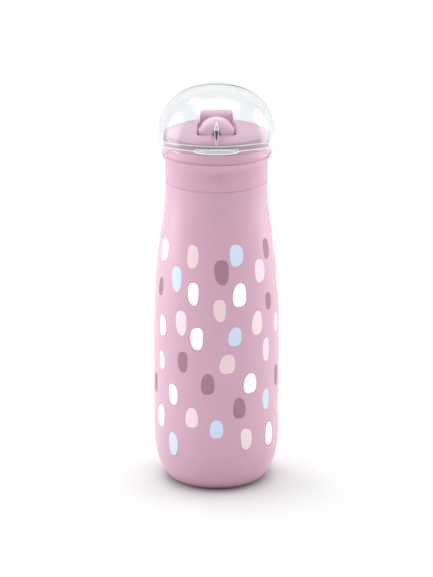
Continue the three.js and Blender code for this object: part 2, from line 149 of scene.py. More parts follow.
def finish(name, light, dark, grain_mm, rough, bump_mm, stretch=(1, 1, 1), **fixed):
    """A surface finish on Object coordinates. Two shades mottle at ten grains across, roughness runs between
    the two values of rough with the grain, and the grain stands bump_mm high."""
    made = bpy.data.materials.new(name)
    made.use_nodes = True
    tree = made.node_tree
    tree.nodes.clear()
    metres = add_node(tree, "ShaderNodeTexCoord").outputs["Object"]
    place = add_node(tree, "ShaderNodeMapping", {"Vector": metres, "Scale": stretch}).outputs["Vector"]
    grain = add_node(tree, "ShaderNodeTexNoise", {
        "Vector": place, "Scale": 1 / (grain_mm * MM), "Detail": 3.0, "Roughness": 0.5}).outputs["Fac"]
    mottle = add_node(tree, "ShaderNodeTexNoise", {
        "Vector": place, "Scale": 0.1 / (grain_mm * MM), "Detail": 2.0}).outputs["Fac"]
    # A Mix node's colour sockets share their names with its number sockets, so they go by their number.
    colour = add_node(tree, "ShaderNodeMix", {
        "Factor": mottle, 6: linear(light), 7: linear(dark)}, data_type="RGBA")
    gloss = add_node(tree, "ShaderNodeMapRange", {
        "Value": grain, "From Min": 0.3, "From Max": 0.7, "To Min": rough[0], "To Max": rough[1]})
    relief = add_node(tree, "ShaderNodeBump", {
        "Height": grain, "Strength": 1.0, "Distance": bump_mm * MM}).outputs["Normal"]
    shader = add_node(tree, "ShaderNodeBsdfPrincipled", {
        "Base Color": colour.outputs[2], "Roughness": gloss.outputs["Result"], "Normal": relief, **fixed})
    add_node(tree, "ShaderNodeOutputMaterial", {"Surface": shader.outputs["BSDF"]})
    return made


# Powder coat levels out in the oven to a satin film with a faint orange peel, about 1.5 mm from hill to hill.
pink_powder_coat = finish("pink_satin_powder_coat", "#D9AAC1", "#D6A6BE", 1.5, (0.36, 0.44), 0.004,
                          **{"Coat Weight": 0.9, "Coat Roughness": 0.35})
base_ring = [(20.5, 2.2 + STEEL), (20.5, 2.2), (21.6, 2.2), (22.0, 1.9), (22.4, 0.5), (22.8, 0.1)]
heights = np.linspace(32.5, 172.6, 90)
rolled_edge = quarter(COLLAR_R - 0.35, SEAM_Z, COLLAR_R + 0.05, SEAM_Z - 0.45, 2, 9)[::-1]
shell_outside = np.concatenate([
    base_ring, quarter(FOOT_R, 0, BELLY_R, BASE_TOP, BASE_POWER, 48),
    np.column_stack([wall_radius(heights), heights]), [[COLLAR_R, 175.5]], rolled_edge, [[25.6, SEAM_Z]],
])
shell_inside = np.concatenate([
    [[25.6, SEAM_Z - STEEL], [COLLAR_R - STEEL, SEAM_Z - STEEL - 0.4]],
    np.column_stack([wall_radius(heights[::-3]) - STEEL, heights[::-3]]),
    quarter(FOOT_R, STEEL, BELLY_R - STEEL, BASE_TOP, BASE_POWER, 16)[::-1],
    [[22.9, STEEL], [22.0, 2.2 + STEEL]],
])
shell_wall = turned(np.concatenate([shell_outside, shell_inside]))
painted_body = piece("painted_body", [shell_wall], pink_powder_coat)
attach(painted_body, "bottle")
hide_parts("outer_shell")

# ---- Printed spots ----
# Pebble-shaped spots are screen printed round the body in five inks, each as thick as a coat of varnish.
# The back of the bottle repeats the front's pattern, turned half round.

INK_MM = 0.06


def pebbles(spots):
    """Flat pebbles that lie on the wall. Each outline is an ellipse of power 2.5 whose radius swells and
    shrinks by a few hundredths twice and three times round; rings lead from its middle over the edge."""
    angle, height, width, tall = np.array(spots, float).T[:, :, None, None]
    order = np.arange(len(spots))[:, None, None] * 2.4
    rings = np.array([0, 0.4, 0.75, 0.93, 0.985, 1.0, 0.97, 0])[None, :, None]
    lift = np.array([1, 1, 1, 1, 0.7, -1.5, -2.5, -2.5])[None, :, None] * INK_MM
    a = np.linspace(0, 2 * np.pi, 48, endpoint=False)[None, None, :]
    reach = (np.abs(np.cos(a)) ** 2.5 + np.abs(np.sin(a)) ** 2.5) ** (-1 / 2.5)
    reach = reach * (1 + 0.045 * np.cos(2 * a + order) + 0.04 * np.cos(3 * a + 1.7 * order)) * rings
    z = height + tall / 2 * reach * np.sin(a)
    turn = np.radians(angle) + width / 2 * reach * np.cos(a) / wall_radius(z)
    r = wall_radius(z) + lift
    return np.stack([r * np.sin(turn), -r * np.cos(turn), z], -1)


# Each ink has a light and a dark shade, the strength of its painted glow, and its spots. Each spot is
# (degrees from the front to the right, height, width, tallness in millimetres).
inks = {
    "white": ("#FAFAFB", "#F7F7F9", 0.2, [
        (-63, 141, 7.4, 13), (-22, 120, 6.6, 12.5), (22, 119, 8, 13.5), (-58, 97, 5.6, 12),
        (-18, 94, 7.8, 12.5), (32, 66, 8, 12), (-43, 58, 6.4, 12), (-61, 42, 7, 13), (56, 32, 6.2, 14),
        (86, 118, 7, 12), (84, 46, 7, 12)]),
    "peach": ("#F5DDE0", "#F2D9DD", 0.04, [
        (-24, 141, 6.6, 14), (3, 111, 7.4, 12.5), (10, 79, 9, 11.5), (90, 96, 7.5, 13)]),
    "sky": ("#D3E1F9", "#CFDDF6", 0.1, [
        (20, 142, 7.8, 13), (-41, 127, 7.4, 14), (17, 95, 7.8, 11), (-59, 76, 5.8, 11), (51, 54, 5.8, 12),
        (0, 40, 7.4, 11.5), (-43, 28, 6.8, 13.5), (86, 72, 7, 12)]),
    "mauve": ("#AE8096", "#A97B91", 0.0, [
        (59, 142, 5.8, 12.5), (5, 133, 8.6, 14), (-64, 119, 5.4, 11), (56, 112, 5.4, 10.5), (-32, 79, 7, 12),
        (-8, 67, 7.6, 13), (70, 65, 5.4, 13), (-73, 60, 6, 11.5), (21, 52, 7.4, 13)]),
    "pale_pink": ("#FCE5EC", "#F9E1E9", 0.04, [
        (46, 131, 7.4, 14), (-34, 102, 7.6, 14), (40, 101, 7.5, 14), (70, 97, 5.4, 12), (51, 84, 5.8, 13.5),
        (-23, 46, 7.5, 12.5), (28, 33, 7.2, 12.5), (84, 141, 7, 13)]),
}
for ink, (light, dark, painted_glow, front) in inks.items():
    back = [(angle + 180, height, width, tall) for angle, height, width, tall in front]
    # Cured screen ink is a little duller than the coat under it, with a fine leathery skin. The pale inks
    # get a slight painted glow, painted light that keeps them light in the shade.
    cured = finish("cured_" + ink + "_ink", light, dark, 0.8, (0.42, 0.5), 0.003,
                   **{"Emission Color": linear(light), "Emission Strength": painted_glow})
    printed = piece("spots_" + ink, list(pebbles(front + back)), cured, closed_rows=False)
    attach(printed, "bottle")

# ---- Steel neck ----
# Above the painted edge the shell is bare steel, drawn in to the neck. One ridge is rolled into it, a single
# turn of the lid's screw thread with a lead of 4 mm.

NECK_R, LIP_Z = 25.2, 188.9
LEAD, RIDGE = 4.0, 0.8


def threaded(radius, low, high, start, side, rows=110):
    """An upright wall with one turn of ridge: radius plus side times the ridge's depth, where the height is
    within 0.35 mm of start + lead x turn, easing to nothing 0.8 mm away and at the turn's two ends."""
    a = np.linspace(0, 2 * np.pi, COLUMNS, endpoint=False)[None, :]
    z = np.linspace(low, high, rows)[:, None]
    share = a / (2 * np.pi)
    away = np.abs(z - start - LEAD * share)
    fade = eased(12 * np.minimum(share, 1 - share))
    r = radius + side * RIDGE * fade * eased((0.8 - away) / 0.45)
    return np.stack([r * np.cos(a), r * np.sin(a), z + 0 * a], -1)


# Electropolished stainless: bright, with the drawing die's fine rings still faintly there.
polished_steel = finish("electropolished_stainless", "#D8D6D2", "#CFCDC9", 0.6, (0.24, 0.32), 0.0006,
                        stretch=(0.15, 0.15, 1.5), Metallic=1.0)
neck_inside = np.array([[NECK_R - STEEL, LIP_Z - 0.9], [NECK_R - STEEL, SEAM_Z - 0.1]])
neck = np.concatenate([threaded(NECK_R, SEAM_Z - 0.1, LIP_Z - 0.9, 182.0, 1), turned(neck_inside)])
steel_neck = piece("steel_neck", [neck], polished_steel)
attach(steel_neck, "bottle")
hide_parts("outer_shell")

# ---- Steel liner ----
# The wall that the drink touches is a second steel shell, welded to the first at the rolled drinking lip,
# with a vacuum between them. It follows the body 5 mm inside it.

JACKET = 4.97
LINER_FLOOR = 6.0
liner_heights = np.linspace(32.5, LIP_Z - 1.2, 70)
liner_r = wall_radius(liner_heights) - JACKET
mouth_r = COLLAR_R - JACKET - STEEL
lip = np.array([
    [mouth_r + 0.1, LIP_Z - 0.5], [mouth_r + 0.3, LIP_Z - 0.15], [mouth_r + 0.65, LIP_Z],
    [NECK_R - 0.35, LIP_Z], [NECK_R - 0.08, LIP_Z - 0.12], [NECK_R, LIP_Z - 0.35],
    [NECK_R - 0.05, LIP_Z - 0.6], [COLLAR_R - JACKET, LIP_Z - 0.6]])
liner = np.concatenate([
    [[0, LINER_FLOOR + STEEL], [17, LINER_FLOOR + STEEL]],
    quarter(18, LINER_FLOOR + STEEL, BELLY_R - JACKET - STEEL, BASE_TOP, BASE_POWER, 32),
    np.column_stack([liner_r - STEEL, liner_heights]), lip,
    np.column_stack([liner_r, liner_heights])[::-1],
    quarter(18, LINER_FLOOR, BELLY_R - JACKET, BASE_TOP, BASE_POWER, 32)[::-1], [[0, LINER_FLOOR]],
])
# The liner is bright annealed inside: a white satin steel that scatters light round the hollow.
annealed_steel = finish("bright_annealed_stainless", "#ECEBE9", "#E6E5E2", 0.8, (0.42, 0.5), 0.0008,
                        Metallic=0.9)
steel_liner = piece("steel_liner", [turned(liner, 192)], annealed_steel)
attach(steel_liner, "bottle")
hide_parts("inner_shell")

# ---- Base disc and getter ----
# A pressed steel disc with a shallow dome is welded into the recess under the bottle and closes the vacuum.
# The getter is a sintered pellet on its hidden side, and it soaks up stray gas.

# Pressed sheet keeps a rolled grain that is duller than the liner's polish.
pressed_steel = finish("pressed_stainless", "#BFBDB9", "#AFADA8", 0.5, (0.3, 0.42), 0.003,
                       stretch=(1.5, 0.12, 1), Metallic=1.0)
disc = eased_corners([(0, 1.7, 0), (11.5, 1.7, 1.2), (13.6, 2.2, 1.2), (20.2, 2.2, 0.25), (20.2, 2.9, 0.25),
                      (13.2, 2.9, 1.2), (11.1, 2.4, 1.2), (0, 2.4, 0)])
base_disc = piece("base_disc", [turned(disc, 192)], pressed_steel)
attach(base_disc, "bottle")
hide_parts("base_cap")

# Sintered powder metal is grey, dull and grainy.
sintered = finish("sintered_getter_metal", "#8C8A88", "#75736F", 0.4, (0.55, 0.75), 0.02, Metallic=0.8)
pellet = eased_corners([(0, 2.7, 0), (5, 2.7, 0.3), (5, 4.1, 0.5), (0, 4.1, 0)])
getter = piece("getter", [turned(pellet, 64)], sintered)
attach(getter, "bottle")
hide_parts("getter_pellet")

# ---- Silicone seals ----
# A flat ring lies on the drinking lip, and a ring with two wiper lips sits in the groove round the lid's
# plug. Both are moulded in milky silicone.

# Silicone straight from a blasted mould: soft, slightly see-through, with a dry sheen.
milky_silicone = finish("milky_moulded_silicone", "#F1ECE8", "#EBE5E1", 0.7, (0.42, 0.52), 0.004,
                        **{"Transmission Weight": 0.25, "IOR": 1.41, "Sheen Weight": 0.1})
flat_ring = eased_corners([(23.83, 189.2, 0.2), (25.2, 189.2, 0.2), (25.2, 190.5, 0.2), (23.83, 190.5, 0.2)])
lip_ring = piece("lip_ring_seal", [turned(flat_ring, 192)], milky_silicone)
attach(lip_ring, "lip_ring")
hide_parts("lip_gasket")

wipers = eased_corners([
    (21.6, 183.6, 0.15), (22.7, 183.6, 0.2), (23.2, 184.3, 0.2), (22.6, 185.1, 0.3), (23.2, 185.9, 0.2),
    (22.7, 186.6, 0.2), (21.6, 186.6, 0.15)])
plug_wiper = piece("plug_wiper_seal", [turned(wipers, 192)], milky_silicone)
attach(plug_wiper, "plug_ring")
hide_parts("plug_seal")

# ---- Lid core ----
# The white inner moulding of the lid: the threaded ring, the plate over the bottle's mouth, the plug with its
# groove for the wiper seal, and the nipple that holds the straw. It is polypropylene, snapped into the shell.

PIVOT_Y, PIVOT_Z = 6.0, 203.0
PLATE_LOW, PLATE_HIGH = 190.8, 192.4

# Natural white polypropylene with an even spark-eroded matt from the mould.
white_moulding = finish("white_moulded_polypropylene", "#F3EEF0", "#EDE8EB", 0.35, (0.38, 0.5), 0.006)
plate = eased_corners([
    (0, PLATE_LOW, 0), (19.6, PLATE_LOW, 0.4), (19.6, 182, 0.4), (22.6, 182, 0.4), (22.6, 183.3, 0.2),
    (21.3, 183.3, 0.2), (21.3, PLATE_LOW, 0.4), (26.6, PLATE_LOW, 0.3), (26.6, PLATE_HIGH, 0.2),
    (0, PLATE_HIGH, 0)])
ring_outside = np.array([[27.6, PLATE_HIGH], [27.6, 179.3], [27.3, 179.0], [26.5, 179.0]])
ring = np.concatenate([threaded(26.3, 179.1, PLATE_HIGH - 0.1, 180.0, -1), turned(ring_outside)])
boss = eased_corners([(2.7, 186.5, 0.2), (5, 186.5, 0.4), (5, PLATE_LOW + 0.2, 0), (2.7, PLATE_LOW + 0.2, 0)])
nipple = eased_corners([
    (1.9, 174.0, 0.2), (2.7, 174.0, 0.4), (2.7, PLATE_LOW + 0.3, 0), (1.9, PLATE_LOW + 0.3, 0)])
core = piece("lid_core_moulding", [
    turned(plate), ring, turned(boss, 64, (0, PIVOT_Y)), turned(nipple, 64, (0, PIVOT_Y))], white_moulding)
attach(core, "lid")
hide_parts("lid_core")

# ---- Straw ----
# A tube of extruded polypropylene, pushed on the lid's nipple and cut on the slant at its foot so that it
# can't seal itself against the floor of the bottle.

# Extruded polypropylene is milky and lets light through, with faint lines along its length from the die.
milky_tube = finish("milky_extruded_polypropylene", "#F5F1F4", "#EFEAEE", 0.5, (0.28, 0.38), 0.003,
                    stretch=(1, 1, 0.03), **{"Transmission Weight": 0.45, "IOR": 1.49})
around = np.linspace(0, 2 * np.pi, 64, endpoint=False)[None, :]
tube_r = np.array([3.0, 3.0, 3.1, 3.7, 3.8, 3.8, 3.8, 3.7, 3.1, 3.0])[:, None]
tube_z = np.array([100.0, 186.0, 186.2, 186.2, 186.0, 100.0, 9.7, 9.5, 9.5, 9.7])[:, None]
# The foot rises by one millimetre for each millimetre towards the back, over the back half of the tube.
slant = np.clip(tube_r * np.sin(around) + 1.2, 0, None) * (tube_z < 50)
straw_points = np.stack([tube_r * np.cos(around), PIVOT_Y + tube_r * np.sin(around), tube_z + slant], -1)
straw = piece("straw_tube", [straw_points], milky_tube)
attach(straw, "lid")
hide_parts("straw")

# ---- Vent valve ----
# A silicone mushroom, pulled through a hole in the plate, lets air in behind the drink.

mushroom = eased_corners([
    (0, 189.0, 0), (0.9, 189.1, 0.3), (1.7, 190.5, 0.2), (1.0, 190.5, 0), (1.0, 192.7, 0), (3.1, 192.7, 0.2),
    (2.4, 193.4, 0.4), (0, 193.8, 0)])
vent = piece("vent_mushroom", [turned(mushroom, 48, (16.2, -3.0))], milky_silicone)
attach(vent, "lid")
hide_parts("vent_valve")

# ---- Lid shell ----
# The pink outer moulding that the hand turns: the collar, the flare with the ledge for the cover's skirt, and
# the raised deck with the well that the spout folds into. It is one shot of satin polypropylene.

DECK_Z, CROWN, DECK_EDGE = 206.2, 0.3, 28.85
LEDGE_Z = 194.1
TROUGH_FLOOR, WELL_FLOOR, WELL_LIP = 200.0, 194.2, 0.7
ray = np.linspace(0, 2 * np.pi, COLUMNS, endpoint=False)


def flare_radius(z):
    """Collar radius plus 4 mm, eased over the 11.4 mm above 188 mm."""
    return COLLAR_R + 4.0 * eased((z - 188.0) / 11.4)


def well_edge(back):
    """How far the well's edge lies from the bottle's axis along each ray: a superellipse of power 9, 10.8 mm
    to each side, 10.6 mm to the front and back millimetres to the back."""
    across = np.abs(np.cos(ray)) / 10.8
    along = np.abs(np.sin(ray)) / np.where(np.sin(ray) < 0, 10.6, back)
    return (across ** 9 + along ** 9) ** (-1 / 9)


def level(r, z):
    """Rings of points at distances r (rows x rays) and heights z (rows, or rows x rays)."""
    r = np.broadcast_to(r, (len(r), COLUMNS))
    z = np.broadcast_to(z, r.shape)
    return np.stack([r * np.cos(ray), r * np.sin(ray), z], -1)


def deck_height(r):
    """The deck's crown: a parabola, 0.3 mm higher on the axis than at its edge."""
    return DECK_Z + CROWN * (1 - (r / DECK_EDGE) ** 2)


# Moulded polypropylene in the body's pink, with a fine satin texture etched into the mould.
pink_moulding = finish("pink_satin_polypropylene", "#DCAAC2", "#D8A6BE", 0.4, (0.38, 0.46), 0.004,
                       **{"Subsurface Weight": 0.06, "Subsurface Radius": (0.004, 0.002, 0.002),
                          "Subsurface Scale": 0.3, "Coat Weight": 0.5, "Coat Roughness": 0.22})
flare = np.linspace(188, LEDGE_Z - 0.25, 14)
turret = quarter(0, 0, 1.2, 1.2, 2.2, 9)
lid_outside = np.concatenate([
    [[0, 192.7], [27.9, 192.7], [27.9, 178.3], [28.0, 178.03], [28.8, 178.03], [28.88, 178.06],
     [28.92, 178.15], [28.96, 179.2], [29.1, 181.5], [29.2, 184.0]],
    np.column_stack([flare_radius(flare), flare]),
    [[flare_radius(LEDGE_Z) - 0.08, LEDGE_Z - 0.06], [flare_radius(LEDGE_Z) - 0.3, LEDGE_Z], [30.6, LEDGE_Z],
     [30.38, LEDGE_Z + 0.25], [29.95, 202.0]],
    np.column_stack([DECK_EDGE + turret[:, 0], DECK_Z - turret[:, 1]])[::-1],
])
# Along each ray the deck runs in to the well's edge, rolls over it, drops to the trough's floor, crosses it,
# drops again to the well's floor and ends on the axis.
edge, lower = well_edge(21.8), well_edge(10.5)
spread = np.linspace(0, 1, 10)[1:, None]
drop = np.linspace(0, 1, 5)[1:, None]
bend = np.linspace(0, np.pi / 2, 6)[1:, None]
deck = DECK_EDGE + (edge + WELL_LIP - DECK_EDGE) * spread
rolled = edge + WELL_LIP * (1 - np.sin(bend))
well_top = deck_height(edge) - WELL_LIP
lid_rings = np.concatenate([
    turned(lid_outside), level(deck, deck_height(deck)),
    level(rolled, deck_height(edge) - WELL_LIP * (1 - np.cos(bend))),
    level(np.repeat(edge[None], 4, 0), well_top + (TROUGH_FLOOR - well_top) * drop),
    level(edge + (lower - edge) * spread, np.full((9, 1), TROUGH_FLOOR)),
    level(np.repeat(lower[None], 4, 0), TROUGH_FLOOR + (WELL_FLOOR - TROUGH_FLOOR) * drop),
    level(lower * (1 - spread), np.full((9, 1), WELL_FLOOR)),
])
# Between the lugs the flare is flattened, so that the cover's knuckle can turn in front of it.
behind_knuckle = (lid_rings[..., 1] > 29.6) & (np.abs(lid_rings[..., 0]) < 5.9) & (lid_rings[..., 2] < 194.5)
lid_rings[..., 1] = np.where(behind_knuckle, 29.6, lid_rings[..., 1])
seat_boss = eased_corners([(3.6, 193.9, 0), (4.7, 193.9, 0), (4.7, 199.3, 0.3), (3.6, 199.3, 0.2)])
lid_parts = [lid_rings, turned(seat_boss, 64, (0, PIVOT_Y))]


def carried(outline, low, high, bevel, axis, steps=5):
    """An outline (points x 2) carried from low to high along an axis, 0 for X, 1 for Y and 2 for Z. Its two
    ends draw in by a quarter circle of the bevel and close at the outline's middle."""
    ahead = np.roll(outline, -1, 0) - np.roll(outline, 1, 0)
    ahead /= np.maximum(np.linalg.norm(ahead, axis=1, keepdims=True), 1e-9)
    inward = np.column_stack([-ahead[:, 1], ahead[:, 0]])
    middle = outline.mean(0)
    inward *= np.sign(((middle - outline) * inward).sum(1).mean())
    a = np.linspace(0, np.pi / 2, steps)[:, None, None]
    end = outline + inward * bevel * (1 - np.sin(a))
    rows = np.concatenate([np.broadcast_to(middle, (1, *outline.shape)), end, end[::-1],
                           np.broadcast_to(middle, (1, *outline.shape))])
    out = bevel * (1 - np.cos(a[:, 0, 0]))
    along = np.concatenate([[low], low + out, high - out[::-1], [high]])[:, None]
    return np.insert(rows, axis, np.broadcast_to(along, rows.shape[:2]), axis=2)


def hull_outline(centre, radius, foot, count=64):
    """A round end of that radius about centre, joined by straight sides to two points at the foot."""
    (y0, z0), (y1, z1) = foot
    a = np.linspace(np.radians(-60), np.radians(150), count)
    arc = np.column_stack([centre[0] + radius * np.cos(a), centre[1] + radius * np.sin(a)])
    return np.concatenate([arc, [[y1, z1], [y0, z0]]])


HINGE = (33.0, 193.8)
KNUCKLE_R = 3.0
lug = hull_outline(HINGE, KNUCKLE_R, [(28.6, 187.6), (28.6, 194.0)])
for x0, x1 in ((-9.0, -5.6), (5.6, 9.0)):
    lid_parts.append(carried(lug, x0, x1, 0.4, 0))
lid_shell = piece("lid_shell_moulding", lid_parts, pink_moulding)
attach(lid_shell, "lid")
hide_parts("lid_shell")

# Three short raised strokes on the front of the collar show where the lid lines up when it is shut.
ring_angle = np.linspace(0, 2 * np.pi, 32, endpoint=False)
stroke_rise = np.sign(np.sin(ring_angle)) * np.abs(np.sin(ring_angle)) ** 0.5
strokes = []
for middle in (-2.1, 0.0, 2.1):
    oval = np.column_stack([middle + 0.45 * np.cos(ring_angle), 185.2 + 2.4 * stroke_rise])
    strokes.append(carried(oval, -COLLAR_R - 0.22, -COLLAR_R + 0.6, 0.12, 1))
mark = piece("alignment_strokes", strokes, pink_moulding, closed_rows=False)
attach(mark, "lid")

# ---- Spout seat ----
# A soft bushing under the rocker. The barrel wipes over its top, open when the spout is up and shut when it
# is folded. It is moulded in the seals' silicone and held by a boss in the lid.

bushing = eased_corners([(1.9, 192.7, 0.1), (3.3, 192.7, 0.1), (3.3, 199.0, 0.2), (1.9, 199.0, 0.2)])
seat = piece("spout_seat", [turned(bushing, 64, (0, PIVOT_Y))], milky_silicone)
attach(seat, "lid")
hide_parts("spout_seal")

# ---- Hinge pin ----
# A length of drawn stainless wire with broken edges, pressed through the lid's lugs.

# Drawing leaves fine straight lines along the wire.
drawn_wire = finish("drawn_stainless_wire", "#C4C2BE", "#B4B2AE", 0.3, (0.22, 0.34), 0.002,
                    stretch=(0.05, 1, 1), Metallic=1.0)
round_angle = np.linspace(0, 2 * np.pi, 48, endpoint=False)
circle = np.column_stack([np.cos(round_angle), np.sin(round_angle)])
pin = piece("hinge_wire", [carried(circle * 1.2 + HINGE, -7.5, 7.5, 0.2, 0)], drawn_wire, closed_rows=False)
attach(pin, "lid")
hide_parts("cover_hinge_pin")

# ---- Spout rocker ----
# The stiff half of the spout: a barrel that turns in the well on two pegs, the nozzle through it, and the
# upright tab that a thumb pushes back to raise the mouthpiece. It is moulded in the lid's polypropylene.


def squircle(half_x, half_y, power, count=160):
    """A closed outline about the origin: along each ray, the superellipse of that power and half widths."""
    a = np.linspace(0, 2 * np.pi, count, endpoint=False)
    reach = (np.abs(np.cos(a) / half_x) ** power + np.abs(np.sin(a) / half_y) ** power) ** (-1 / power)
    return np.column_stack([reach * np.cos(a), reach * np.sin(a)])


tab = squircle(9.8, 9.2, 7) + [0, 208.8]
# The tab narrows by 6 per cent towards its top.
tab[:, 0] *= 1 - 0.06 * (tab[:, 1] - 203) / 15
rocker_parts = [
    carried(tab, 4.0, 8.2, 1.1, 1, 7),
    carried(circle * 3.9 + [PIVOT_Y, PIVOT_Z], -10.3, 10.3, 0.4, 0),
    carried(circle * 1.5 + [PIVOT_Y, PIVOT_Z], -12, 12, 0.3, 0),
    carried(squircle(8.3, 6.6, 2.6) + [0, 206.8], 1.2, 4.4, 0.4, 1),
]
# The same polypropylene as the lid, painted a touch lighter: painted light that brightens the tab under the
# dome.
lightened_tab_moulding = finish("pink_tab_polypropylene_painted_lighter", "#DFAEC5", "#DCAAC2", 0.4, (0.36, 0.44), 0.004)
rocker = piece("spout_rocker_moulding", rocker_parts, lightened_tab_moulding, closed_rows=False)
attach(rocker, "spout")
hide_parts("spout_rocker")

# ---- Mouthpiece ----
# The soft half of the spout, a fat round button of silicone that the child drinks from. Folded, its mouth
# looks forward: a slot that widens downwards, with the drinking hole at the bottom of it.

MOUTH_Y, MOUTH_Z = -2.2, 205.0


def button(rows=180, columns=240):
    """An ellipsoid 20 mm across and 16 mm deep, flat at the back. In front it is pushed in by the slot, a
    triangle with a round top whose sides fall away steeply, and further by the round drinking hole."""
    lat = np.linspace(-np.pi / 2, np.pi / 2, rows)[:, None]
    lon = np.linspace(0, 2 * np.pi, columns, endpoint=False)[None, :]
    x = 9.95 * np.cos(lat) * np.sin(lon)
    y = -8.0 * np.cos(lat) * np.cos(lon)
    z = 9.95 * np.sin(lat) + 0 * lon
    front = y < 0
    half = np.clip(1.2 + (4.2 - z) * 0.45, 0, 2.7)
    slot = eased((half - np.abs(x)) / 0.4) * eased((4.8 - z) / 0.8) * front
    hole = eased((1.9 - np.hypot(x, z + 2.0)) / 0.4) * front
    y = y + 4.5 * slot + 2.0 * hole
    y = np.minimum(y, 3.1)
    return np.stack([x, y + MOUTH_Y, z + MOUTH_Z], -1)


# Liquid silicone in a pale pink: matt, soft-looking, and light enters it a little way.
soft_silicone = finish("pale_pink_soft_silicone", "#F7D3E6", "#F4CEE2", 0.6, (0.45, 0.55), 0.004,
                       **{"IOR": 1.41, "Subsurface Weight": 0.2, "Subsurface Scale": 0.3,
                          "Subsurface Radius": (0.005, 0.003, 0.003), "Sheen Weight": 0.15})
mouthpiece = piece("mouthpiece_button", [button()], soft_silicone, closed_rows=False, crease=60)
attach(mouthpiece, "spout")
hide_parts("mouthpiece")

# ---- Clear cover ----
# A clear dome over the spout, moulded in copolyester in one shot with its skirt round the lid, the grooved
# thumb tab at the front, the rib inside that keeps the spout folded, and the hinge knuckle at the back.

DOME_LOW, DOME_TOP, DOME_R, BORE_R = 200.4, 232.1, 33.55, 30.85
DOME_POWER = 2.43


def dome_outline(radius, top, steps=80):
    """Quarter of a superellipse from the dome's widest level up to its top on the axis: radius x cosine and
    rise x sine, each to 2 / the dome's power."""
    a = np.linspace(0, np.pi / 2, steps)
    r = radius * np.clip(np.cos(a), 0, 1) ** (2 / DOME_POWER)
    r[-1] = 0
    return np.column_stack([r, DOME_LOW + (top - DOME_LOW) * np.sin(a) ** (2 / DOME_POWER)])


def clear(name, tint, ior, rough, alpha, painted_glow=0.0):
    """A clear plastic: its tint, index of refraction and gloss, the share of light that it bends rather than
    passes straight on, and the strength of a painted glow in its tint. The mould leaves ripples about a
    centimetre apart."""
    made = bpy.data.materials.new(name)
    made.use_nodes = True
    tree = made.node_tree
    tree.nodes.clear()
    metres = add_node(tree, "ShaderNodeTexCoord").outputs["Object"]
    ripples = add_node(tree, "ShaderNodeTexNoise", {"Vector": metres, "Scale": 90.0, "Detail": 1.0})
    relief = add_node(tree, "ShaderNodeBump", {
        "Height": ripples.outputs["Fac"], "Strength": 1.0, "Distance": 0.00003})
    shader = add_node(tree, "ShaderNodeBsdfPrincipled", {
        "Base Color": linear(tint), "Roughness": rough, "IOR": ior, "Transmission Weight": 1.0,
        "Alpha": alpha, "Emission Color": linear(tint), "Emission Strength": painted_glow,
        "Normal": relief.outputs["Normal"]})
    add_node(tree, "ShaderNodeOutputMaterial", {"Surface": shader.outputs["BSDF"]})
    return made


# Polished copolyester: clear and glossy, with a cool grey cast in its thick edges.
clear_copolyester = clear("clear_polished_copolyester", "#F7FAFB", 1.47, 0.02, 1.0)
dome_profile = np.concatenate([
    dome_outline(DOME_R, DOME_TOP), dome_outline(BORE_R + 0.3, DOME_TOP - 2.2)[::-1]])
cover = piece("clear_dome", [turned(dome_profile)], clear_copolyester, crease=50)
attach(cover, "cover")
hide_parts("dome_cover")

# The skirt hugs the lid with next to no air behind it, so the pink shows through undimmed: its index of
# refraction and its share of bent light are set low for that. It gets a slight painted glow in pale pink,
# painted light that lightens the lid seen through it.
hugging_copolyester = clear("clear_copolyester_close_to_the_lid", "#FDEFF6", 1.16, 0.05, 0.15, 0.17)
skirt = np.linspace(194.5, 199.4, 12)
skirt_profile = np.concatenate([
    [[BORE_R + 0.3, DOME_LOW], [BORE_R, 199.0], [BORE_R, 194.3], [BORE_R + 0.1, 194.2],
     [flare_radius(194.3) - 0.15, 194.2]],
    np.column_stack([flare_radius(skirt), skirt]), [[DOME_R, DOME_LOW]]])
skirt_piece = piece("cover_skirt", [turned(skirt_profile)], hugging_copolyester, crease=50)
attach(skirt_piece, "cover")
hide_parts("dome_cover")

# The rib stands in the plane of symmetry, from the dome's inner wall to just short of the mouthpiece. It is
# thickest at its top and narrows to a fifth towards the mouthpiece.
RIB_LOW, RIB_HIGH, RIB_BACK = 206.6, 213.8, -11.6
rib_z = np.linspace(RIB_LOW, RIB_HIGH, 16)
inner_wall = dome_outline(BORE_R + 0.8, DOME_TOP - 1.7)
rib_front = -np.interp(rib_z, inner_wall[:, 1], inner_wall[:, 0])
rib_half = 0.5 + 0.6 * (rib_z - RIB_LOW) / (RIB_HIGH - RIB_LOW)
rib_back = np.full_like(rib_z, RIB_BACK)
rib_sections = np.stack([
    np.column_stack([-rib_half, rib_front, rib_z]), np.column_stack([rib_half, rib_front, rib_z]),
    np.column_stack([rib_half * 0.2, rib_back, rib_z]),
    np.column_stack([-rib_half * 0.2, rib_back, rib_z])], 1)
rib_ends = np.broadcast_to(rib_sections.mean(1, keepdims=True), rib_sections.shape)
rib = np.concatenate([rib_ends[:1], rib_sections, rib_ends[-1:]])
rib_piece = piece("cover_rib", [rib], clear_copolyester, closed_rows=False)
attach(rib_piece, "cover")

# The thumb tab is a flat lip at the front with rounded ends, and its back follows the dome's round wall.
TAB_Y = -32.3
lip_outline = squircle(12.2, 3.9, 2.3)
lip_outline[:, 1] = np.minimum(lip_outline[:, 1], 0) + TAB_Y
lip_outline[:, 1] += (1 - np.cos(lip_outline[:, 0] / 33)) * 33 * (lip_outline[:, 1] > TAB_Y - 0.1)
thumb = carried(lip_outline, 201.8, 204.4, 0.5, 2, 5)
thumb_piece = piece("thumb_tab", [thumb], clear_copolyester, closed_rows=False)
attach(thumb_piece, "cover")


